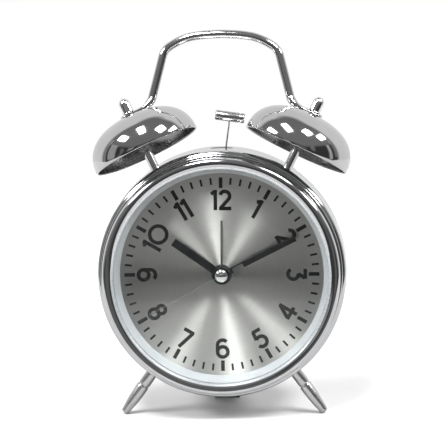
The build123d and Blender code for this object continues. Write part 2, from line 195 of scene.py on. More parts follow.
M["copper"] = satin("copper", (6, 0.3, 0.3), (0.45, 0.18, 0.08), (0.68, 0.33, 0.17), 0.25, 0.4, 900, 0.4)


def lacquer_painted_shade_mat(name, rough):
    """Satin blue-grey lacquer with a fine grain. Its colour is graded by height, dark at the foot and light at the
    top: painted light on the top, which faces down, and painted shade on the foot, which faces up.
    """
    m, nt, p, out = nt_new(name)
    v = coords(nt)
    tc = nt.nodes.new("ShaderNodeTexCoord")
    sep = nt.nodes.new("ShaderNodeSeparateXYZ")
    nt.links.new(tc.outputs["Object"], sep.inputs[0])
    # painted light and shade: colour runs from dark at the foot to light at the top of the ring by height, with a
    # little random tone
    h = maprange(nt, sep.outputs["Z"], 0.018, 0.112, 0.0, 1.0)
    h = math2(nt, "ADD", h, math2(nt, "MULTIPLY", noise(nt, v, 30, 3, 0.5), 0.12))
    c = ramp(nt, h, [(0.05, (0.34, 0.355, 0.37)), (0.5, (0.44, 0.46, 0.48)), (1.0, (0.80, 0.82, 0.84))])
    nt.links.new(c, p.inputs["Base Color"])
    p.inputs["Metallic"].default_value = 0.25
    f = noise(nt, v, 1400, 3, 0.6)
    nt.links.new(maprange(nt, f, 0.3, 0.7, rough, rough + 0.1), p.inputs["Roughness"])
    bump(nt, p, f, 0.1, 0.00003)
    return m


# rehaut and bezel lip both carry the painted light-to-shade grade by height
M["rehaut"] = lacquer_painted_shade_mat("rehaut", 0.32)
M["bevel"] = lacquer_painted_shade_mat("bevel", 0.24)


def dial_mat():
    """Circular brushed metal under clear lacquer: ring grooves, so highlights fan out in wedges."""
    m, nt, p, out = nt_new("dial_metal")
    tc = nt.nodes.new("ShaderNodeTexCoord")
    sep = nt.nodes.new("ShaderNodeSeparateXYZ")
    nt.links.new(tc.outputs["Object"], sep.inputs[0])
    x, z = sep.outputs["X"], sep.outputs["Z"]
    r = math2(nt, "SQRT", math2(nt, "ADD", math2(nt, "MULTIPLY", x, x), math2(nt, "MULTIPLY", z, z)))
    ang = math2(nt, "ARCTAN2", z, x)
    comb = nt.nodes.new("ShaderNodeCombineXYZ")
    nt.links.new(math2(nt, "MULTIPLY", r, 5200.0), comb.inputs["X"])
    nt.links.new(math2(nt, "MULTIPLY", math2(nt, "SINE", ang), 2.0), comb.inputs["Y"])
    nt.links.new(math2(nt, "MULTIPLY", math2(nt, "COSINE", ang), 2.0), comb.inputs["Z"])
    g = nt.nodes.new("ShaderNodeTexNoise")
    g.inputs["Scale"].default_value = 1.0
    g.inputs["Detail"].default_value = 4.0
    g.inputs["Roughness"].default_value = 0.7
    nt.links.new(comb.outputs[0], g.inputs["Vector"])
    c = ramp(nt, g.outputs["Fac"], [(0.30, (0.50, 0.495, 0.475)), (0.70, (0.60, 0.595, 0.575))])
    nt.links.new(c, p.inputs["Base Color"])
    p.inputs["Metallic"].default_value = 1.0
    nt.links.new(maprange(nt, g.outputs["Fac"], 0.3, 0.7, 0.42, 0.48), p.inputs["Roughness"])
    p.inputs["Anisotropic"].default_value = 1.0
    p.inputs["Anisotropic Rotation"].default_value = 0.25
    t = nt.nodes.new("ShaderNodeTangent")
    t.direction_type = "RADIAL"
    t.axis = "Y"
    nt.links.new(t.outputs[0], p.inputs["Tangent"])
    bump(nt, p, g.outputs["Fac"], 0.03, 0.00002)
    return m


M["dial"] = dial_mat()


def glass_mat():
    m, nt, p, out = nt_new("lens_glass")
    p.inputs["Base Color"].default_value = (0.985, 0.995, 0.99, 1)
    p.inputs["Transmission Weight"].default_value = 1.0
    p.inputs["IOR"].default_value = 1.47
    v = coords(nt)
    nt.links.new(maprange(nt, noise(nt, v, 35, 4, 0.6), 0.4, 0.8, 0.0, 0.012), p.inputs["Roughness"])
    tr = nt.nodes.new("ShaderNodeBsdfTransparent")
    tr.inputs[0].default_value = (0.96, 0.97, 0.97, 1)
    lp = nt.nodes.new("ShaderNodeLightPath")
    mx = nt.nodes.new("ShaderNodeMixShader")
    nt.links.new(lp.outputs["Is Shadow Ray"], mx.inputs[0])
    nt.links.new(p.outputs[0], mx.inputs[1])
    nt.links.new(tr.outputs[0], mx.inputs[2])
    nt.links.new(mx.outputs[0], out.inputs[0])
    return m


M["glass"] = glass_mat()

# ------------------------------------------------------------------- meshes


def make(name, verts, faces, mat, body, replaces=(), sharp=30.0, smooth=True, local=False):
    """Vertices come in mm in the case frame. local keeps them there and leans the object instead."""
    me = bpy.data.meshes.new(name)
    world = W if local else Matrix.Identity(4)
    pre = Matrix.Identity(4) if local else W
    me.from_pydata([tuple(pre @ Vector((x * MM, y * MM, z * MM))) for x, y, z in verts], [], faces)
    me.validate()
    me.update()
    bm = bmesh.new()
    bm.from_mesh(me)
    bmesh.ops.remove_doubles(bm, verts=bm.verts, dist=1e-7)
    bmesh.ops.recalc_face_normals(bm, faces=bm.faces)
    bm.to_mesh(me)
    bm.free()
    for f in me.polygons:
        f.use_smooth = smooth
    if smooth:
        me.set_sharp_from_angle(angle=radians(sharp))
    o = bpy.data.objects.new(name, me)
    SCN.collection.objects.link(o)
    o.matrix_world = world
    me.materials.append(mat)
    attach(o, body)
    if replaces:
        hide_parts(*replaces)
    return o


def lathe_mesh(profile, segs, axis="Y", closed=True, phase=0.0):
    """profile: (r, h) points; axis Y gives (r cos, h, r sin); axis Z gives (r cos, r sin, h)."""
    verts, faces, rings = [], [], []
    for r, h in profile:
        if r < 1e-6:
            verts.append((0, h, 0) if axis == "Y" else (0, 0, h))
            rings.append([len(verts) - 1])
        else:
            ring = []
            for i in range(segs):
                a = 2 * pi * i / segs + phase
                verts.append((r * cos(a), h, r * sin(a)) if axis == "Y" else (r * cos(a), r * sin(a), h))
                ring.append(len(verts) - 1)
            rings.append(ring)
    n = len(rings)
    for k in range(n if closed else n - 1):
        a, b = rings[k], rings[(k + 1) % n]
        if len(a) == 1 and len(b) == 1:
            continue
        for i in range(segs):
            j = (i + 1) % segs
            if len(a) == 1:
                faces.append((a[0], b[j], b[i]))
            elif len(b) == 1:
                faces.append((a[i], a[j], b[0]))
            else:
                faces.append((a[i], a[j], b[j], b[i]))
    return verts, faces


def xform(verts, mat):
    return [tuple(mat @ Vector(v)) for v in verts]


def join(*parts):
    V, F = [], []
    for v, f in parts:
        o = len(V)
        V += list(v)
        F += [tuple(i + o for i in q) for q in f]
    return V, F


def arc(cx, cy, rx, ry, a0, a1, n):
    return [(cx + rx * cos(radians(a0 + (a1 - a0) * i / n)), cy + ry * sin(radians(a0 + (a1 - a0) * i / n)))
            for i in range(n + 1)]


def dedupe(pts, eps=1e-4):
    out = [pts[0]]
    for q in pts[1:]:
        if hypot(q[0] - out[-1][0], q[1] - out[-1][1]) > eps:
            out.append(q)
    return out


def fillet2(pts, radii, n=16):
    """2D polyline with round corners (radii for the inner points)."""
    out = [pts[0]]
    for i in range(1, len(pts) - 1):
        p, a, b, r = Vector(pts[i]), Vector(pts[i - 1]), Vector(pts[i + 1]), radii[i - 1]
        u, v = (a - p).normalized(), (b - p).normalized()
        half = u.angle(v) / 2
        t = r / math.tan(half)
        c = p + (u + v).normalized() * (r / sin(half))
        s, e = p + u * t, p + v * t
        a0 = atan2(s.y - c.y, s.x - c.x)
        a1 = atan2(e.y - c.y, e.x - c.x)
        while a1 - a0 > pi:
            a1 -= 2 * pi
        while a1 - a0 < -pi:
            a1 += 2 * pi
        for k in range(n + 1):
            t_ = a0 + (a1 - a0) * k / n
            out.append((c.x + r * cos(t_), c.y + r * sin(t_)))
    out.append(pts[-1])
    return out


def prism(outline, y0, y1, bevel=0.0):
    """Flat outline in (x, z), thick from y0 (front) to y1 (back), with a small front bevel."""
    n = len(outline)
    cx = sum(p[0] for p in outline) / n
    verts = [(x, y1, z) for x, z in outline]
    loops = [list(range(n))]

    def inset(d):
        res = []
        area = sum(outline[i][0] * outline[(i + 1) % n][1] - outline[(i + 1) % n][0] * outline[i][1] for i in range(n))
        sgn = 1 if area > 0 else -1
        for i in range(n):
            p0, p1, p2 = Vector(outline[i - 1]), Vector(outline[i]), Vector(outline[(i + 1) % n])
            e1, e2 = (p1 - p0).normalized(), (p2 - p1).normalized()
            n1, n2 = Vector((-e1.y, e1.x)) * sgn, Vector((-e2.y, e2.x)) * sgn
            m_ = n1 + n2
            if m_.length < 1e-6:
                m_ = n1
            m_ = m_.normalized()
            res.append(tuple(p1 + m_ * (d / max(0.35, m_.dot(n1)))))
        return res
    levels = [(0.0, y1), (0.0, y0 + bevel)]
    if bevel > 0:
        levels += [(bevel * 0.35, y0 + bevel * 0.30), (bevel, y0)]
    verts, loops = [], []
    for d, y in levels:
        pts = inset(d) if d > 0 else outline
        loops.append(list(range(len(verts), len(verts) + n)))
        verts += [(x, y, z) for x, z in pts]
    faces = [tuple(loops[0]), tuple(reversed(loops[-1]))]
    for a, b in zip(loops, loops[1:]):
        for i in range(n):
            j = (i + 1) % n
            faces.append((a[i], b[i], b[j], a[j]))
    return verts, faces


def turn(pts, ang):
    a = radians(ang)
    return [(x * cos(a) + z * sin(a), z * cos(a) - x * sin(a)) for x, z in pts]


def tube(path, radius, segs=16, up=Vector((0, 1, 0))):
    """Round tube with flat capped ends along 3D points."""
    P = [Vector(p) for p in path]
    verts, rings = [], []
    n = len(P)
    for i, p in enumerate(P):
        t = (P[min(i + 1, n - 1)] - P[max(i - 1, 0)]).normalized()
        a = t.cross(up).normalized()
        b = t.cross(a).normalized()
        r = radius[i] if isinstance(radius, (list, tuple)) else radius
        rings.append(len(verts))
        for k in range(segs):
            th = 2 * pi * k / segs
            verts.append(tuple(p + a * (r * cos(th)) + b * (r * sin(th))))
    faces = []
    for i in range(n - 1):
        for k in range(segs):
            j = (k + 1) % segs
            faces.append((rings[i] + k, rings[i] + j, rings[i + 1] + j, rings[i + 1] + k))
    faces.append(tuple(rings[0] + k for k in range(segs))[::-1])
    faces.append(tuple(rings[-1] + k for k in range(segs)))
    return verts, faces


# ---------------------------------------------------------- case and bezel
prof = [(47.5, 1.5), (47.5, 1.38)]
prof += [(50.7 - 3.2 * cos(radians(a)) ** 0.92, 1.36 - 1.36 * sin(radians(a))) for a in range(4, 90, 5)]
prof += [(50.7 + 1.7 * sin(radians(a)), 2.4 - 2.4 * cos(radians(a))) for a in range(0, 91, 5)]
prof += [(52.4, 3.6), (52.4, 5.0), (52.38, 6.2), (52.3, 6.55), (52.15, 6.6), (51.2, 6.6), (51.2, 11.0), (50.4, 11.0), (50.4, 5.0), (48.4, 5.0), (48.4, 1.5)]
v, f = lathe_mesh(dedupe(prof), 288)
ring = make("bezel", v, f, M["chrome_case"], "case", ["bezel_ring"], 40)
ring.data.materials.append(M["bevel"])
# the inner lip, r < 48.55 mm, takes the bevel lacquer with its painted light and shade by height
inv = W.inverted()
for q in ring.data.polygons:
    c_ = (inv @ q.center) * 1000
    if hypot(c_.x, c_.z) < 48.55 and c_.y < 1.6:
        q.material_index = 1

cp = [(51.25, 6.9), (51.9, 6.9)]
cp += arc(52.55, 7.62, 0.78, 0.74, -120, 30, 14)
cp += [(53.34, 7.92), (53.55, 7.98), (54.0, 8.27), (54.38, 8.62), (54.6, 9.05), (54.72, 9.6), (54.78, 10.4), (54.8, 11.4), (54.8, 12.0)]
cp += [(54.8, y) for y in (13.0, 14.2, 15.4, 16.6, 17.8, 19.0, 20.2, 21.4, 22.6, 23.8, 25.0, 26.2, 27.5)]
cp += [(52.0 + 2.8 * cos(radians(a)), 27.5 + 6.5 * sin(radians(a))) for a in range(6, 91, 6)]
cp += [(50.6, 34.0), (50.6, 33.2), (51.6, 33.2)]
cp += [(51.6 + 2.4 * cos(radians(a)), 27.5 + 5.7 * sin(radians(a))) for a in range(84, -1, -6)]
cp += [(54.0, 12.2), (53.6, 10.4), (52.6, 9.0), (51.25, 9.0)]
v, f = lathe_mesh(dedupe(cp), 288)
drum = make("case_shell", v, f, M["chrome_case"], "case", ["case_drum"], 40)


def cut(obj, cutter_mesh):
    me = bpy.data.meshes.new("cutter")
    me.from_pydata([tuple(W @ Vector((x * MM, y * MM, z * MM))) for x, y, z in cutter_mesh[0]], [], cutter_mesh[1])
    bm = bmesh.new()
    bm.from_mesh(me)
    bmesh.ops.recalc_face_normals(bm, faces=bm.faces)
    bm.to_mesh(me)
    bm.free()
    c = bpy.data.objects.new("cutter", me)
    SCN.collection.objects.link(c)
    c.matrix_world = obj.matrix_world
    md = obj.modifiers.new("cut", "BOOLEAN")
    md.object, md.operation, md.solver = c, "DIFFERENCE", "EXACT"
    bpy.context.view_layer.update()
    new = bpy.data.meshes.new_from_object(obj.evaluated_get(bpy.context.evaluated_depsgraph_get()))
    obj.modifiers.clear()
    old = obj.data
    obj.data = new
    bpy.data.objects.remove(c)
    for q in new.polygons:
        q.use_smooth = True
    new.set_sharp_from_angle(angle=radians(40))
    bpy.data.meshes.remove(old)


slot_pts = arc(3.4, 0, 1.6, 1.6, -90, 90, 12) + arc(-3.4, 0, 1.6, 1.6, 90, 270, 12)
sv = [(x, 21.0 + y, 50.0) for x, y in slot_pts] + [(x, 21.0 + y, 58.0) for x, y in slot_pts]
ns = len(slot_pts)
sf = [tuple(range(ns))[::-1], tuple(range(ns, 2 * ns))] + [(i, (i + 1) % ns, ns + (i + 1) % ns, ns + i) for i in range(ns)]
cut(drum, (sv, sf))

v, f = lathe_mesh([(0, 1.58), (47.9, 1.58), (48.25, 1.75), (48.3, 1.95), (48.3, 2.6), (48.2, 2.95), (0, 2.95)], 192)
make("lens_disc", v, f, M["glass"], "case", ["lens"], 30)
v, f = lathe_mesh([(47.0, 3.0), (48.3, 3.0), (48.3, 3.6), (45.5, 9.75), (44.15, 9.75), (44.1, 9.68), (44.12, 9.55)]
                  + [(44.12 + 2.88 * t, 9.55 - 6.45 * t) for t in (0.2, 0.4, 0.6, 0.8)], 288)
make("rehaut", v, f, M["rehaut"], "case", ["rehaut_ring"], 30)

# dial: flat disc with a centre hole
v, f = lathe_mesh([(3.5, 9.8)] + [(r, 9.8) for r in (8, 14, 20, 26, 32, 38, 43.9)] + [(50.3, 9.8), (50.3, 10.4), (3.5, 10.4)], 288)
make("dial", v, f, M["dial"], "case", ["dial_plate"], 30, local=True)

# printed minute track and numerals, 0.04 mm of ink
INK0, INK1 = 9.755, 9.80
parts = []
for i in range(60):
    if i % 5 == 0:
        w, r0, r1 = 0.80, 37.6, 42.2
    else:
        w, r0, r1 = 0.46, 39.15, 42.2
    parts.append(prism(turn([(-w, r0), (w, r0), (w, r1), (-w, r1)], 6 * i), INK0, INK1))
v, f = join(*parts)
make("minute_track", v, f, M["ink"], "case", (), 30, smooth=False)

S = 0.18


def ribbon(pts, w=S, y=0.0, miter=True):
    """Stroke of constant width along 2D points, square ends, returned as an outline."""
    n = len(pts)
    L, R = [], []
    for i in range(n):
        p = Vector(pts[i])
        if i == 0:
            d = (Vector(pts[1]) - p).normalized()
            nrm, k = Vector((-d.y, d.x)), 1
        elif i == n - 1:
            d = (p - Vector(pts[-2])).normalized()
            nrm, k = Vector((-d.y, d.x)), 1
        else:
            d1, d2 = (p - Vector(pts[i - 1])).normalized(), (Vector(pts[i + 1]) - p).normalized()
            n1, n2 = Vector((-d1.y, d1.x)), Vector((-d2.y, d2.x))
            nrm = (n1 + n2).normalized()
            k = 1 / max(0.3, nrm.dot(n1))
        L.append(tuple(p + nrm * (w / 2 * k)))
        R.append(tuple(p - nrm * (w / 2 * k)))
    return L, R


def ribbon_solid(pts, y0, y1, place, w=S, closed=False):
    if closed:
        n = len(pts)
        L, R = [], []
        for i in range(n):
            p = Vector(pts[i])
            d = (Vector(pts[(i + 1) % n]) - Vector(pts[i - 1])).normalized()
            nrm = Vector((-d.y, d.x))
            L.append(tuple(p + nrm * w / 2))
            R.append(tuple(p - nrm * w / 2))
    else:
        L, R = ribbon(pts, w)
        n = len(pts)
    verts = []
    for y in (y0, y1):
        for side in (L, R):
            for q in side:
                x, z = place(q)
                verts.append((x, y, z))
    fr, bk = 0, 2 * n
    faces = []
    m = n if closed else n - 1
    for i in range(m):
        j = (i + 1) % n
        faces.append((fr + i, fr + j, fr + n + j, fr + n + i))
        faces.append((bk + i, bk + n + i, bk + n + j, bk + j))
        faces.append((fr + i, bk + i, bk + j, fr + j))
        faces.append((fr + n + i, fr + n + j, bk + n + j, bk + n + i))
    if not closed:
        for i in (0, n - 1):
            faces.append((fr + i, fr + n + i, bk + n + i, bk + i))
    return verts, faces


GL = {
    "0": [("c", arc(0, 0, 0.42, 0.42, 0, 350, 35))],
    "1": [("o", [(0.0, -0.5), (0.0, 0.5)]), ("o", [(-0.21, 0.29), (0.0, 0.43)])],
    "2": [("o", arc(0, 0.19, 0.235, 0.235, 165, -38, 22) + [(-0.215, -0.40)]), ("o", [(-0.29, -0.42), (0.31, -0.42)])],
    "3": [("o", [(-0.25, 0.42), (0.235, 0.42)]), ("o", [(0.20, 0.40), (-0.005, 0.085)]),
          ("o", arc(0, -0.17, 0.255, 0.255, 98, -150, 26))],
    "4": [("o", [(0.10, -0.5), (0.10, 0.5)]), ("o", [(0.10, 0.44), (-0.27, -0.16)]), ("o", [(-0.34, -0.2), (0.32, -0.2)])],
    "5": [("o", [(0.235, 0.42), (-0.20, 0.42)]), ("o", [(-0.15, 0.44), (-0.20, 0.01)]),
          ("o", arc(0, -0.165, 0.26, 0.26, 138, -150, 28))],
    "6": [("c", arc(0, -0.165, 0.255, 0.255, 0, 350, 35)),
          ("o", [(-0.255, -0.165), (-0.255, 0.10)] + arc(0.0, 0.165, 0.255, 0.255, 175, 42, 14))],
    "7": [("o", [(-0.29, 0.42), (0.26, 0.42)]), ("o", [(0.215, 0.44), (-0.09, -0.5)])],
    "8": [("c", arc(0, 0.22, 0.20, 0.20, 0, 350, 35)), ("c", arc(0, -0.185, 0.235, 0.235, 0, 350, 35))],
}
GL["9"] = [(k, [(-x, -y) for x, y in pts]) for k, pts in GL["6"]]
NUM = {12: [("1", -0.27), ("2", 0.20)], 1: [("1", -0.05)], 2: [("2", 0)], 3: [("3", 0)], 4: [("4", 0)], 5: [("5", 0)],
       6: [("6", 0)], 7: [("7", 0)], 8: [("8", 0)], 9: [("9", 0)], 10: [("1", -0.46), ("0", 0.18)], 11: [("1", -0.12), ("1", 0.24)]}
parts = []
for num, glyphs in NUM.items():
    ang = num * 30
    cr = 32.4
    cx_, cz_ = cr * sin(radians(ang)), cr * cos(radians(ang))
    rot = ang if num in (9, 10, 11, 12, 1, 2, 3) else ang - 180
    k = 0
    for ch, dx in glyphs:
        for kind, pts in GL[ch]:
            k += 1

            def place(q, dx=dx, rot=rot, cx_=cx_, cz_=cz_):
                x, z = (q[0] + dx) * 8.8, q[1] * 8.8
                a = radians(rot)
                return cx_ + x * cos(a) + z * sin(a), cz_ + z * cos(a) - x * sin(a)
            parts.append(ribbon_solid(pts, INK0 - 0.003 * k, INK1, place, closed=(kind == "c")))
v, f = join(*parts)
make("numerals", v, f, M["ink"], "case", (), 30, smooth=False)

# -------------------------------------------------------------------- hands
H_HOUR, H_MIN, H_SEC, H_ALM = 305.3, 63.5, 241.5, 0.6


def boss(ri, ro, y0, y1, segs=64):
    return lathe_mesh([(ri, y0), (ro - 0.12, y0), (ro, y0 + 0.12), (ro, y1), (ri, y1)], segs)


v, f = join(prism(turn([(-0.45, 2.6), (0.45, 2.6), (0.45, 23.55), (0.3, 23.7), (-0.3, 23.7), (-0.45, 23.55)], H_ALM), 8.15, 8.45, 0.08),
            boss(2.5, 3.4, 8.15, 8.55))
make("hand_alarm", v, f, M["hand_alarm"], "alarm", ["alarm_hand"], 30)
v, f = join(prism(turn([(-1.72, 2.5), (1.72, 2.5), (1.8, 25.4), (-1.8, 25.4)], H_HOUR), 7.2, 7.55, 0.12),
            boss(1.9, 3.6, 7.15, 7.6))
make("hand_hour", v, f, M["hands_black"], "hour", ["hour_hand"], 30)
y0, y1 = 6.2, 6.5
v, f = join(prism(turn([(-1.25, 10.6), (1.25, 10.6), (1.25, 36.1), (-1.25, 36.1)], H_MIN), y0, y1, 0.1),
            prism(turn([(-1.25, 2.6), (-0.72, 2.6), (-0.72, 10.61), (-1.25, 10.61)], H_MIN), y0, y1, 0.06),
            prism(turn([(0.72, 2.6), (1.25, 2.6), (1.25, 5.3), (-0.73, 5.3), (-0.73, 4.4), (0.72, 4.4)], H_MIN), y0, y1, 0.0),
            boss(1.3, 3.7, 6.1, 6.6))
make("hand_minute", v, f, M["hands_black"], "minute", ["minute_hand"], 30)
v, f = join(prism(turn([(-0.17, 1.2), (0.17, 1.2), (0.12, 36.0), (-0.12, 36.0)], H_SEC), 5.45, 5.62, 0.04), boss(0.5, 1.6, 5.4, 5.7))
make("hand_second", v, f, M["hand_grey"], "second", ["second_hand"], 30)
cpr = [(0, 3.55)] + [(2.85 * sin(radians(a)), 5.15 - 1.6 * cos(radians(a))) for a in range(6, 91, 6)] + [(2.85, 5.35), (0.52, 5.35), (0.52, 4.85), (0, 4.85)]
v, f = lathe_mesh(cpr, 96)
make("centre_cap", v, f, M["chrome_cap"], "second", ["hand_cap"], 40)

# -------------------------------------------------------------------- bells
TA, TB = radians(26.0), radians(11.0)
D = Vector((sin(TA) * cos(TB), sin(TB), cos(TA) * cos(TB)))
PX = Vector((cos(TA), 0, -sin(TA)))
RIM = Vector((32.8, 19.5, 53.5))


def bell_frame(side):
    """Columns: outward, across, along the post; side -1 mirrors it in X (still right-handed after a swap)."""
    p, d, o = PX.copy(), D.copy(), RIM.copy()
    if side < 0:
        p.x, d.x, o.x = -p.x, -d.x, -o.x
    q = d.cross(p)
    m = Matrix.Identity(4)
    for i in range(3):
        m[i][0], m[i][1], m[i][2], m[i][3] = p[i], q[i], d[i], o[i]
    return m


BR, BH, BT, BN = 24.4, 17.5, 0.8, 2.4


def super_pts(R, H, n, t0, t1, k):
    out = []
    for i in range(k + 1):
        t = radians(t0 + (t1 - t0) * i / k)
        out.append((R * max(cos(t), 0) ** (2 / n), H * max(sin(t), 0) ** (2 / n)))
    return out


for side, nm in ((1, "right"), (-1, "left")):
    B = bell_frame(side)
    outer = [(BR, 0.25)] + [q for q in super_pts(BR, BH, BN, 3, 88, 54) if q[1] > 0.4] + [(1.4, BH)]
    inner = [q for q in super_pts(BR - BT, BH - BT, BN, 88, 1, 40) if q[1] > 0.3]
    pr = [(1.3, BH - 0.02)] + list(reversed(outer)) + [(BR - 0.10, 0.06), (BR - 0.30, 0.0), (BR - 0.55, 0.03), (BR - BT + 0.02, 0.2)] \
        + list(reversed(inner)) + [(1.3, BH - BT)]
    v, f = lathe_mesh(dedupe(pr), 224, "Z")
    dome = make("bell_dome_" + nm, xform(v, B), f, M["chrome_bell"], "case", ["bell_" + nm], 50)
    dome.data.materials.append(M["bell_inside"])
    inv = (W @ Matrix.Scale(MM, 4) @ B).inverted()
    for q in dome.data.polygons:
        c_ = inv @ q.center
        t_ = min(1.0, max(0.0, c_.z / BH))
        if hypot(c_.x, c_.y) < (BR - BT * 0.55) * (1 - t_ ** BN) ** (1 / BN) and c_.z < BH - 0.5 * BT:
            q.material_index = 1
    # post with a tapered foot and a shoulder under the bell
    pp = [(0, -10.0), (1.85, -10.0), (2.0, -9.0), (2.0, 15.75), (1.85, 15.9), (1.3, 16.0), (1.2, 16.05), (1.2, 21.6), (0, 22.0)]
    v, f = lathe_mesh(pp, 64, "Z", closed=False)
    make("bell_post_" + nm, xform(v, B), f, M["chrome_rod"], "case", ["post_" + nm], 35)
    z0 = 18.9
    pp = [(1.22, z0), (2.3, z0), (2.5, z0 + 0.2), (2.5, z0 + 4.0)] + [(2.5 * cos(radians(a)) ** 0.95, z0 + 4.0 + 3.0 * sin(radians(a))) for a in range(5, 86, 5)] + [(0, z0 + 7.0), (0, z0 + 4.2), (1.22, z0 + 4.2)]
    v, f = lathe_mesh(pp, 72, "Z", closed=True)
    make("cap_nut_dome_" + nm, xform(v, B), f, M["chrome_cap"], "case", ["cap_nut_" + nm], 35)

# ------------------------------------------------------------------- handle
hy = RIM.y + D.y * 18.2
hz = RIM.z + D.z * 18.2


def on_handle(x, s):
    return Vector((x, hy + s * sin(TB), hz + s * cos(TB)))


arch = fillet2([(31.0, 5.2), (25.17, 28.51), (16.8, 33.8), (8.0, 35.1), (0, 35.45),
                (-8.0, 35.1), (-16.8, 33.8), (-25.17, 28.51), (-31.0, 5.2)], [8.0, 25.0, 50.0, 50.0, 50.0, 25.0, 8.0], 14)
arch3 = [on_handle(*q) for q in dedupe(arch)]
BRT = bell_frame(1)
tab_out = BRT @ Vector((4.2, 0, 18.2))
tab_mid = BRT @ Vector((-6.6, 0, 18.2))
# right half from the tab's outer tip to the first arch point, with a bend
knee = BRT @ Vector((-10.7, 0, 18.6))
seq = [tab_out, tab_mid, knee, arch3[0] + (arch3[1] - arch3[0]) * 0.12]


def bez(p0, p1, p2, n):
    return [p0 * ((1 - t) ** 2) + p1 * (2 * t * (1 - t)) + p2 * (t * t) for t in [i / n for i in range(n + 1)]]


def densify(a, b, n):
    return [a + (b - a) * (i / n) for i in range(n)]


start = BRT @ Vector((4.2, 0, 18.2))
flat_end = BRT @ Vector((-7.6, 0, 18.2))
up_pt = arch3[0] + (arch3[1] - arch3[0]) * 0.10
half = densify(start, flat_end, 26) + bez(flat_end, knee, up_pt, 16)
rest = []
P = [up_pt] + arch3[1:-1]
for a, b in zip(P, P[1:]):
    k = max(1, int((b - a).length / 1.2))
    rest += densify(a, b, k)
rest = rest[1:]
mirror_half = [Vector((-q.x, q.y, q.z)) for q in reversed(half)]
line = half + rest + [Vector((-up_pt.x, up_pt.y, up_pt.z))] + mirror_half[1:]
# arc length, then section: flat 6 x 1.4 on the tabs, round 3.8 elsewhere
N = len(line)
cum = [0.0]
for a, b in zip(line, line[1:]):
    cum.append(cum[-1] + (b - a).length)
tot = cum[-1]


def smooth01(t):
    t = max(0.0, min(1.0, t))
    return t * t * (3 - 2 * t)


verts, rings = [], []
SEG = 40
for i, p in enumerate(line):
    s = min(cum[i], tot - cum[i])
    t = (line[min(i + 1, N - 1)] - line[max(i - 1, 0)]).normalized()
    # width direction stays square to the path in the plane that holds Y
    wd = Vector((0, 1, 0)) - t * t.y
    wd.normalize()
    th = t.cross(wd).normalized()
    k = smooth01((s - 9.5) / 6.5)
    a, b, ex = 3.0 + (1.9 - 3.0) * k, 0.7 + (1.9 - 0.7) * k, 5.0 + (2.0 - 5.0) * k
    if s < 3.0:
        a = 3.0 * sqrt(max(0.0, 1 - ((3.0 - s) / 3.0) ** 2)) + 0.02
        b = 0.7 * (0.55 + 0.45 * smooth01(s / 0.8))
    rings.append(len(verts))
    for q in range(SEG):
        g = 2 * pi * q / SEG
        cx, sx = cos(g), sin(g)
        verts.append(tuple(p + wd * (a * math.copysign(abs(cx) ** (2 / ex), cx)) + th * (b * math.copysign(abs(sx) ** (2 / ex), sx))))
faces = []
for i in range(N - 1):
    for q in range(SEG):
        j = (q + 1) % SEG
        faces.append((rings[i] + q, rings[i] + j, rings[i + 1] + j, rings[i + 1] + q))
faces.append(tuple(rings[0] + q for q in range(SEG))[::-1])
faces.append(tuple(rings[-1] + q for q in range(SEG)))
make("carry_handle", verts, faces, M["chrome_rod"], "case", ["handle"], 50)

# ------------------------------------------------------------------- hammer
HP = Vector((0, 21.0, 40.8))
HR = Matrix.Translation(HP) @ Matrix.Rotation(radians(8.0), 4, "Y")
hl = 6.45
hp = [(0, -hl), (1.75, -hl), (1.95, -hl + 0.08), (2.12, -hl + 0.3), (2.2, -hl + 0.55)]
hp += [(2.2, 3.95), (2.16, 4.15), (1.9, 4.22), (1.86, 4.5), (1.9, 4.74), (2.16, 4.82), (2.2, 5.0)]
hp += [(2.2, hl - 0.4), (2.1, hl - 0.15), (1.9, hl), (0, hl)]
v, f = lathe_mesh(hp, 72, "Z", closed=False)
to_x = Matrix(((0, 0, 1, 0), (0, 1, 0, 0), (-1, 0, 0, 0), (0, 0, 0, 1)))
v = xform(xform(v, to_x), HR @ Matrix.Translation((0, 0, 28.0)))
make("hammer_block", v, f, M["steel_hammer"], "hammer", ["hammer_head"], 35)
v, f = tube([tuple(HR @ Vector((0, 0, s))) for s in (2.2, 6, 10, 14, 18, 22, 26.6)], 0.36, 20)
make("hammer_wire", v, f, M["steel_wire"], "hammer", ["hammer_rod"], 60)

# --------------------------------------------------------------------- legs
for side, nm in ((1, "right"), (-1, "left")):
    a = radians(35.4)
    d = Vector((sin(a) * side, 0, -cos(a)))
    y_ = Vector((0, 1, 0))
    x_ = y_.cross(d)
    L = Matrix.Identity(4)
    for i in range(3):
        L[i][0], L[i][1], L[i][2] = x_[i], y_[i], d[i]
    L[1][3] = 17.0
    g, e = 61.7, 76.96
    pr = [(0, 52.5), (2.6, 52.5), (2.6, g - 0.55), (2.52, g - 0.38), (2.3, g - 0.25), (2.28, g), (2.3, g + 0.22), (2.62, g + 0.4), (2.75, g + 0.7)]
    pr += [(2.75 + (1.75 - 2.75) * (t ** 2.0), g + 0.9 + (e - 1.0 - g - 0.9) * t) for t in [i / 16 for i in range(0, 17)]]
    pr += [(1.75 * cos(radians(q)), e - 1.0 + 1.0 * sin(radians(q))) for q in range(12, 85, 12)] + [(0.2, e), (0, e)]
    v, f = lathe_mesh(dedupe(pr), 80, "Z", closed=False)
    make("turned_leg_" + nm, xform(v, L), f, M["satin_leg"], "case", ["leg_" + nm], 35)

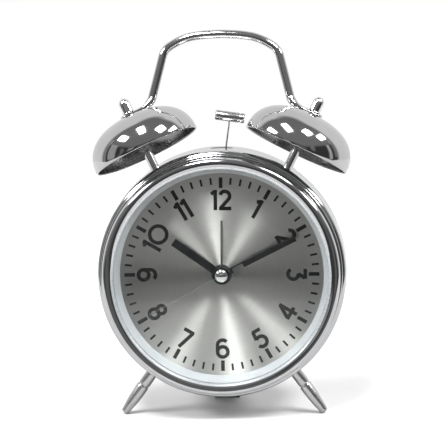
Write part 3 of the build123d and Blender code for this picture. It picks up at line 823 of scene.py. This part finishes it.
# ------------------------------------------------------------ knurled knobs
for nm, x0, z0, r0, body, node_name, teeth in (("time", 0.0, -12.0, 6.2, "time_set", "time_set_knob", 36),
                                                ("alarm", -12.0, 0.0, 4.2, "alarm_set", "alarm_set_knob", 26)):
    lev = [(r0 - 0.25, 36.6, 0), (r0, 36.85, 1), (r0, 44.9, 1), (r0 - 0.12, 45.25, 0.5), (r0 - 0.45, 45.6, 0), (r0 - 1.3, 45.6, 0), (r0 - 1.6, 45.35, 0)]
    segs = teeth * 6
    V, F, rings = [], [], []
    for r_, y_, k_ in lev:
        rings.append(len(V))
        for i in range(segs):
            g = 2 * pi * i / segs
            rr = r_ - k_ * 0.26 * (0.5 - 0.5 * cos(g * teeth)) ** 1.5
            V.append((x0 + rr * cos(g), y_, z0 + rr * sin(g)))
    for a_, b_ in zip(rings, rings[1:]):
        for i in range(segs):
            j = (i + 1) % segs
            F.append((a_ + i, a_ + j, b_ + j, b_ + i))
    F.append(tuple(rings[0] + i for i in range(segs))[::-1])
    F.append(tuple(rings[-1] + i for i in range(segs)))
    make("knob_" + nm, V, F, M["black_knob"], body, [node_name], 40)

# --------------------------------------------------- materials on CAD nodes
CAD_MAT = {
    "leg_nuts": "zinc", "post_nuts": "zinc", "bell_washers": "zinc", "hammer_rocker": "zinc", "hammer_pivot_pin": "zinc",
    "crank_axle": "zinc", "mechanism_bracket": "zinc", "crank_gear": "white_plastic", "motor_pinion": "brass", "alarm_motor": "zinc",
    "movement_front": "movement", "movement_back": "movement", "movement_nut": "movement", "alarm_wheel": "white_plastic",
    "hour_wheel": "white_plastic", "minute_wheel": "white_plastic", "time_set_arbor": "white_plastic", "second_wheel": "white_plastic",
    "intermediate_wheel": "white_plastic", "rotor": "white_plastic", "stator": "zinc", "coil": "copper", "circuit_board": "pcb",
    "quartz_crystal": "zinc", "alarm_set_arbor": "white_plastic", "rear_cover": "black_cover", "rear_foot_pad": "rubber",
    "cover_screws": "zinc", "alarm_switch": "black_knob",
    "battery_door": "black_cover", "battery": "battery", "battery_contacts": "zinc",
}
for name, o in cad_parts.items():
    if name in CAD_MAT:
        o.data.materials.clear()
        o.data.materials.append(M[CAD_MAT[name]])

# ---------------------------------------------------------- floor and studio
FLOOR_R = 0.45
me = bpy.data.meshes.new("floor")
bm = bmesh.new()
bmesh.ops.create_circle(bm, cap_ends=True, segments=96, radius=FLOOR_R)
bm.to_mesh(me)
bm.free()
floor = bpy.data.objects.new("floor", me)
SCN.collection.objects.link(floor)
m, nt, p, out = nt_new("floor_white")
c = ramp(nt, noise(nt, coords(nt), 3, 2, 0.5), [(0.3, (0.80, 0.80, 0.80)), (0.7, (0.83, 0.83, 0.83))])
nt.links.new(c, p.inputs["Base Color"])
p.inputs["Roughness"].default_value = 0.75
p.inputs["Specular IOR Level"].default_value = 0.1
lp = nt.nodes.new("ShaderNodeLightPath")
em = nt.nodes.new("ShaderNodeEmission")
em.inputs[1].default_value = 0.05
add = nt.nodes.new("ShaderNodeAddShader")
nt.links.new(p.outputs[0], add.inputs[0])
nt.links.new(em.outputs[0], add.inputs[1])
dim = nt.nodes.new("ShaderNodeBsdfDiffuse")
tc = nt.nodes.new("ShaderNodeTexCoord")
sep = nt.nodes.new("ShaderNodeSeparateXYZ")
nt.links.new(tc.outputs["Object"], sep.inputs[0])
nt.links.new(maprange(nt, sep.outputs["Y"], -0.03, 0.06, 0.40, 0.44), dim.inputs[0])
m1 = nt.nodes.new("ShaderNodeMixShader")
nt.links.new(lp.outputs["Is Glossy Ray"], m1.inputs[0])
nt.links.new(p.outputs[0], m1.inputs[1])
nt.links.new(dim.outputs[0], m1.inputs[2])
m2 = nt.nodes.new("ShaderNodeMixShader")
nt.links.new(lp.outputs["Is Camera Ray"], m2.inputs[0])
nt.links.new(m1.outputs[0], m2.inputs[1])
nt.links.new(add.outputs[0], m2.inputs[2])
nt.links.new(m2.outputs[0], out.inputs[0])
me.materials.append(m)


def studio():
    """White surroundings behind, dim room in front, and soft boxes, all far away."""
    w = bpy.data.worlds.new("studio")
    w.use_nodes = True
    SCN.world = w
    nt = w.node_tree
    nt.nodes.clear()
    out = nt.nodes.new("ShaderNodeOutputWorld")
    bg = nt.nodes.new("ShaderNodeBackground")
    tc = nt.nodes.new("ShaderNodeTexCoord")
    sep = nt.nodes.new("ShaderNodeSeparateXYZ")
    nt.links.new(tc.outputs["Generated"], sep.inputs[0])
    y, z = sep.outputs["Y"], sep.outputs["Z"]
    # a light wall behind that ends overhead, a grey ceiling, dark furniture low in front
    wall = math2(nt, "MULTIPLY", maprange(nt, y, 0.16, 0.30, 0.0, 1.0), maprange(nt, z, 0.86, 0.95, 1.0, 0.0))
    low = math2(nt, "MULTIPLY", maprange(nt, z, 0.26, 0.36, 1.0, 0.0), maprange(nt, y, 0.10, 0.18, 1.0, 0.0))
    open_ = math2(nt, "SUBTRACT", ROOM, math2(nt, "MULTIPLY", low, ROOM - FURNITURE))
    base = math2(nt, "ADD", math2(nt, "MULTIPLY", wall, WALL - ROOM), open_)

    def box(az, el, half_w, half_h, power, spin, soft=0.07):
        """az from the front (-Y) towards +X, el above the horizon, half sizes as tangents."""
        a, e = radians(az), radians(el)
        d = Vector((sin(a) * cos(e), -cos(a) * cos(e), sin(e)))
        r = Vector((cos(a), sin(a), 0))
        u = r.cross(d) * -1 if r.cross(d).z < 0 else r.cross(d)
        t = radians(spin)
        r, u = r * cos(t) + u * sin(t), u * cos(t) - r * sin(t)

        def dot(vec):
            n = nt.nodes.new("ShaderNodeVectorMath")
            n.operation = "DOT_PRODUCT"
            n.inputs[1].default_value = tuple(vec)
            nt.links.new(tc.outputs["Generated"], n.inputs[0])
            return n.outputs["Value"]
        dd = dot(d)
        x = math2(nt, "ABSOLUTE", math2(nt, "DIVIDE", dot(r), dd))
        z = math2(nt, "ABSOLUTE", math2(nt, "DIVIDE", dot(u), dd))
        mx = maprange(nt, x, half_w, half_w + soft, 1.0, 0.0)
        mz = maprange(nt, z, half_h, half_h + soft, 1.0, 0.0)
        front = math2(nt, "GREATER_THAN", dd, 0.05)
        edge = math2(nt, "POWER", math2(nt, "MULTIPLY", mx, mz), 2.0)
        return math2(nt, "MULTIPLY", math2(nt, "MULTIPLY", edge, front), power)

    total = base
    for b in BOXES:
        total = math2(nt, "ADD", total, box(*b))
    lp = nt.nodes.new("ShaderNodeLightPath")
    mix = nt.nodes.new("ShaderNodeMix")
    mix.data_type = "FLOAT"
    nt.links.new(lp.outputs["Is Camera Ray"], mix.inputs[0])
    nt.links.new(total, mix.inputs[2])
    mix.inputs[3].default_value = 1.0
    nt.links.new(mix.outputs[0], bg.inputs["Strength"])
    bg.inputs["Color"].default_value = (1, 1, 1, 1)
    nt.links.new(bg.outputs[0], out.inputs[0])


WALL, ROOM, FURNITURE = 0.80, 0.20, 0.045
BOXES = [
    # azimuth from the front towards +X, elevation, half width, half height, radiance, turn
    (-68, 38, 0.17, 0.075, 22.0, 0),
    (-30, 66, 0.20, 0.07, 30.0, -42),
    (55, 56, 0.12, 0.10, 26.0, 12),
    (84, 37, 0.15, 0.07, 16.0, 0),
    (-76, 4, 0.16, 0.26, 0.34, 0),
    (-50, -4, 0.05, 0.30, 0.12, 0),
    (-27, 9, 0.12, 0.10, 0.28, 0),
    (-95, 5, 0.03, 0.40, 0.22, 0),
    (80, 2, 0.05, 0.26, 0.42, 0),
    (95, 8, 0.04, 0.30, 0.16, 0),
    (5, 6, 0.22, 0.14, 0.08, 0),
    (38, 12, 0.06, 0.09, 0.14, 0),
]
studio()

# ------------------------------------------------------------------- camera
AZ, EL, ROLL, DIST = 3.2, 15.0, 1.15, 1.8
a, e = radians(AZ), radians(EL)
back = Vector((sin(a) * cos(e), -cos(a) * cos(e), sin(e)))
target = W @ Vector((0, 9.8 * MM, 0))
cam_d = bpy.data.cameras.new("camera")
cam = bpy.data.objects.new("camera", cam_d)
SCN.collection.objects.link(cam)
cam.location = target + back * DIST
q = (-back).to_track_quat("-Z", "Y")
cam.rotation_mode = "QUATERNION"
cam.rotation_quaternion = q @ Matrix.Rotation(radians(-ROLL), 4, "Z").to_quaternion()
cam_d.sensor_width = 36.0
mm_per_px = 0.44
cam_d.lens = 36.0 * DIST * 1000 / (447 * mm_per_px)
# the dial centre is at (221.8, 274.35) of the 447 frame
cam_d.shift_x = (223.5 - 221.8) / 447
cam_d.shift_y = (274.35 - 223.5) / 447
cam_d.clip_start, cam_d.clip_end = 0.05, 50
SCN.camera = cam
SCN.view_settings.view_transform = "Standard"
SCN.view_settings.look = "None"
